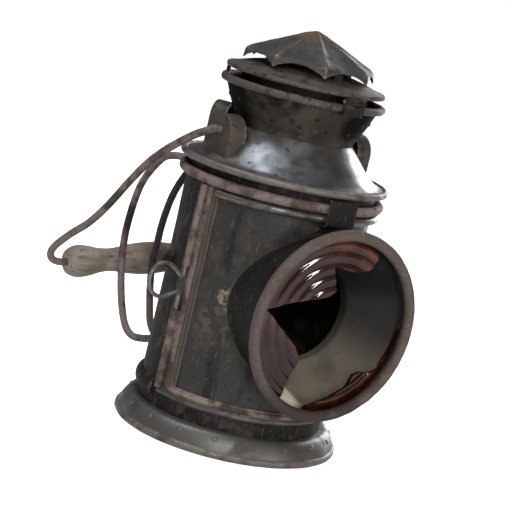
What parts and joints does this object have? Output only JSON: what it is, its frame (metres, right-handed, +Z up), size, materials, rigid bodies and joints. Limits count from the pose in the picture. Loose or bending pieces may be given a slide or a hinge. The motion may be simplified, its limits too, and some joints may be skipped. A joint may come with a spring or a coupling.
{
  "type": "railroad lantern",
  "caption": "Sheet steel hand lamp on a flared foot, with a hooded red lens in a hinged door, a riveted collar, a hinged umbrella cap, a wire bail with a wooden grip and folding wire loops",
  "frame": {"origin": "centre of the flat underside of the foot, on the drum's axis", "axes": "+Z up along the drum's axis; the lens looks along -Y; the door's hinge is at +X"},
  "size_m": [0.1606, 0.2269, 0.2573],
  "materials": {
    "dark_sheet": "worn dark paint on sheet steel",
    "tinned_sheet": "dull tinned sheet with thin grey paint",
    "worn_bead": "bare wired edge with fine pinkish brown rust",
    "iron_wire": "iron with dull brown rust",
    "bright_wire": "dull bare steel wire",
    "sooty_tin": "soot over tinplate",
    "burner_brass": "old brass with soot",
    "reflector_tin": "clouded tin reflector",
    "wick_cotton": "woven cotton",
    "lens_glass": "pressed red glass, broken",
    "liner_paint": "matt cream paint, aged",
    "turned_wood": "weathered bare hardwood"
  },
  "bodies": {
    "case": {"base_plate": "sooty_tin", "base_rim_wire": "worn_bead", "base_skirt": "tinned_sheet", "base_rivets": "dark_sheet", "body_drum": "dark_sheet", "rear_bead": "dark_sheet", "sill_strip": "worn_bead", "top_bead": "worn_bead", "jamb_left": "sooty_tin", "jamb_right": "sooty_tin", "shoulder": "tinned_sheet", "eave_wire": "worn_bead", "collar": "dark_sheet", "collar_rim_wire": "worn_bead", "collar_rivets": "dark_sheet", "inner_chimney": "sooty_tin", "left_ear": "dark_sheet", "right_ear": "dark_sheet", "rear_ear": "iron_wire", "cap_rest_tabs": "dark_sheet", "cap_hinge_bracket": "iron_wire", "cap_hinge_pin": "iron_wire", "loop_hinge_upper": "iron_wire", "loop_hinge_lower": "iron_wire", "case_hinge_leaves": "iron_wire", "door_hinge_pins": "iron_wire", "catch_lug": "iron_wire", "oil_font": "sooty_tin", "burner_collar": "burner_brass", "burner_body": "burner_brass", "wick_tube": "burner_brass", "reflector": "reflector_tin", "reflector_bracket": "sooty_tin"},
    "door": {"door_panel": "dark_sheet", "door_top_strip": "worn_bead", "door_bottom_strip": "worn_bead", "door_left_strip": "dark_sheet", "door_right_strip": "dark_sheet", "door_edge_roll": "worn_bead", "ring_tab": "worn_bead", "door_hinge_leaves": "iron_wire", "front_catch": "iron_wire", "lens_hood": "dark_sheet", "hood_rim_wire": "worn_bead", "hood_liner": "liner_paint", "lens_glass": "lens_glass"},
    "cap": {"cap_disc": "dark_sheet", "cap_disc_wire": "worn_bead", "cap_umbrella": "dark_sheet", "cap_stays": "dark_sheet", "cap_hinge_leaf": "iron_wire"},
    "bail": {"bail_wire": "iron_wire"},
    "grip": {"grip": "turned_wood"},
    "left_hand_loop": {"left_hand_loop": "iron_wire"},
    "right_hand_loop": {"right_hand_loop": "iron_wire"},
    "pull_ring": {"pull_ring": "bright_wire"},
    "wick_winder": {"wick_winder": "burner_brass"},
    "wick": {"wick": "wick_cotton"},
    "filler_cap": {"filler_cap": "burner_brass"}
  },
  "joints": [
    {"name": "door_hinge", "type": "hinge", "parent": "case", "child": "door", "pos_m": [0.0616, 0, 0.093], "axis": [0, 0, 1], "range_deg": [0, 110]},
    {"name": "cap_hinge", "type": "hinge", "parent": "case", "child": "cap", "pos_m": [0, -0.052, 0.2233], "axis": [1, 0, 0], "range_deg": [0, 95]},
    {"name": "bail_pivot", "type": "hinge", "parent": "case", "child": "bail", "pos_m": [0, 0, 0.189], "axis": [1, 0, 0], "range_deg": [0, 235]},
    {"name": "grip_spin", "type": "hinge", "parent": "bail", "child": "grip", "pos_m": [0, 0.13, 0.0746], "axis": [0.9923, 0, 0.124], "continuous": true},
    {"name": "left_loop_pivot", "type": "hinge", "parent": "case", "child": "left_hand_loop", "pos_m": [-0.012, 0.062, 0.095], "axis": [0, 0, 1], "range_deg": [-7, 78]},
    {"name": "right_loop_pivot", "type": "hinge", "parent": "case", "child": "right_hand_loop", "pos_m": [0.012, 0.062, 0.095], "axis": [0, 0, -1], "range_deg": [-7, 122]},
    {"name": "pull_ring_pivot", "type": "hinge", "parent": "door", "child": "pull_ring", "pos_m": [-0.06013, -0.00568, 0.092], "axis": [0, 0, 1], "range_deg": [-60, 70]},
    {"name": "wick_winder_turn", "type": "hinge", "parent": "case", "child": "wick_winder", "pos_m": [0, -0.0044, 0.062], "axis": [1, 0, 0], "range_deg": [-90, 90]},
    {"name": "wick_rise", "type": "slide", "parent": "case", "child": "wick", "axis": [0, 0, 1], "range_m": [-0.0048, 0.0048]},
    {"name": "filler_cap_turn", "type": "hinge", "parent": "case", "child": "filler_cap", "pos_m": [-0.027, -0.008, 0.046], "axis": [0, 0, 1], "continuous": true}
  ],
  "couplings": [
    {"joint": "wick_rise", "follows": "wick_winder_turn", "m_per_rad": 0.003}
  ]
}
